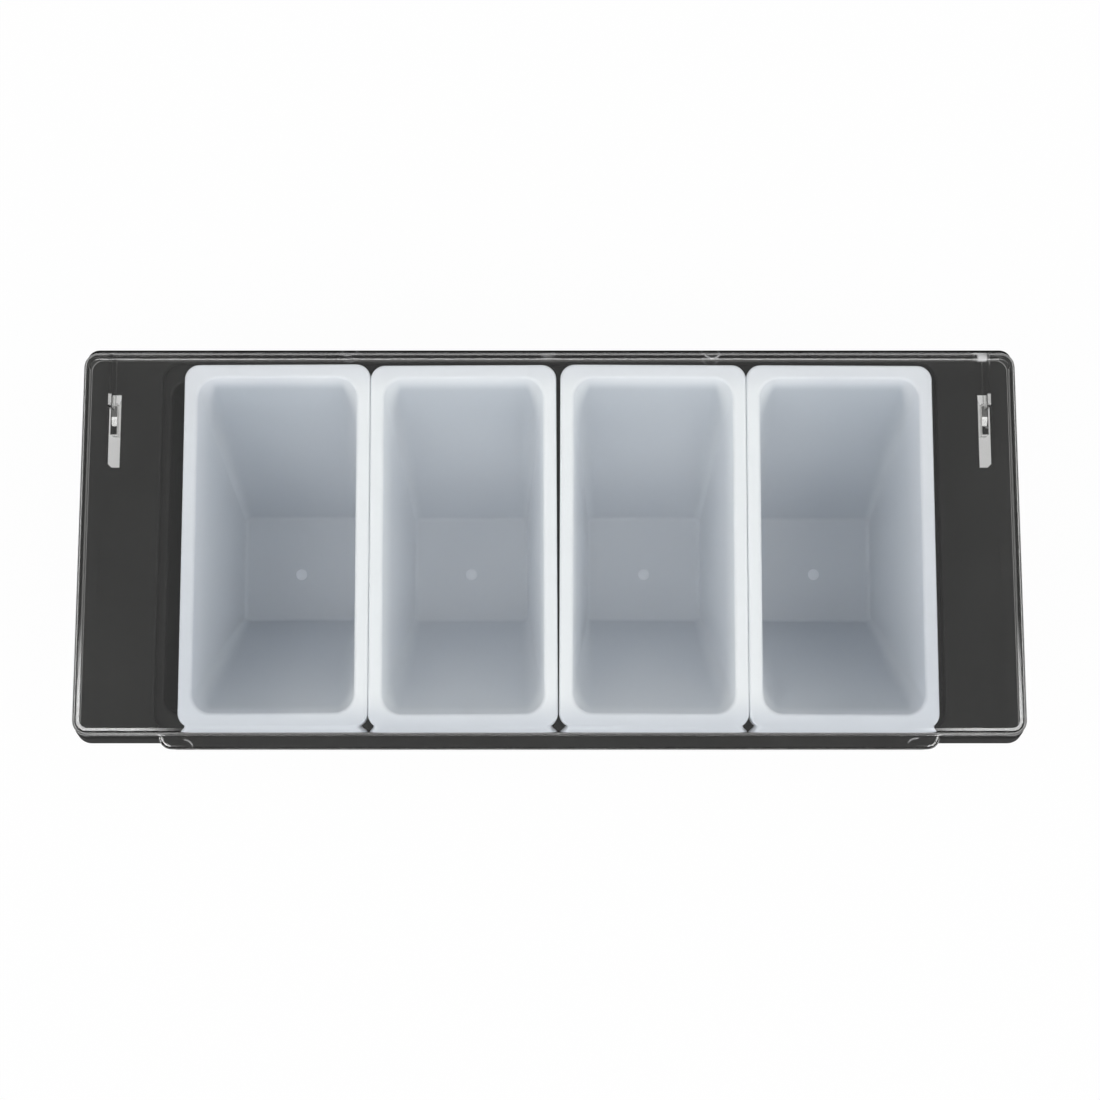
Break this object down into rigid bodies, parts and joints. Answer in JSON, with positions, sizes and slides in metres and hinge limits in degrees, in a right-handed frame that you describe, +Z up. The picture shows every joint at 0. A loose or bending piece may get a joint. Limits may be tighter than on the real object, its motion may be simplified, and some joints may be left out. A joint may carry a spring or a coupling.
{
  "type": "condiment holder",
  "caption": "Bar condiment holder: a black tub with wings at its ends, white lift-out inserts in a row and a clear hinged lid with a finger lip.",
  "frame": {"origin": "on the table, under the middle of the lid's rectangle, within about 1.5 mm of the middle of the whole footprint", "axes": "+X to the user's right along the row of inserts, +Y to the back where the lid hinges, +Z up"},
  "size_m": [0.386, 0.1663, 0.0987],
  "materials": {
    "black_plastic": "moulded, semi-gloss",
    "white_plastic": "moulded, satin",
    "clear_plastic": "clear, polished"
  },
  "bodies": {
    "base": {"base": "black_plastic", "insert_1": "white_plastic", "insert_2": "white_plastic", "insert_3": "white_plastic", "insert_4": "white_plastic"},
    "lid": {"lid": "clear_plastic"}
  },
  "joints": [
    {"name": "lid_hinge", "type": "hinge", "parent": "base", "child": "lid", "pos_m": [0, 0.0779, 0.0867], "axis": [-1, 0, 0], "range_deg": [0, 90]}
  ]
}
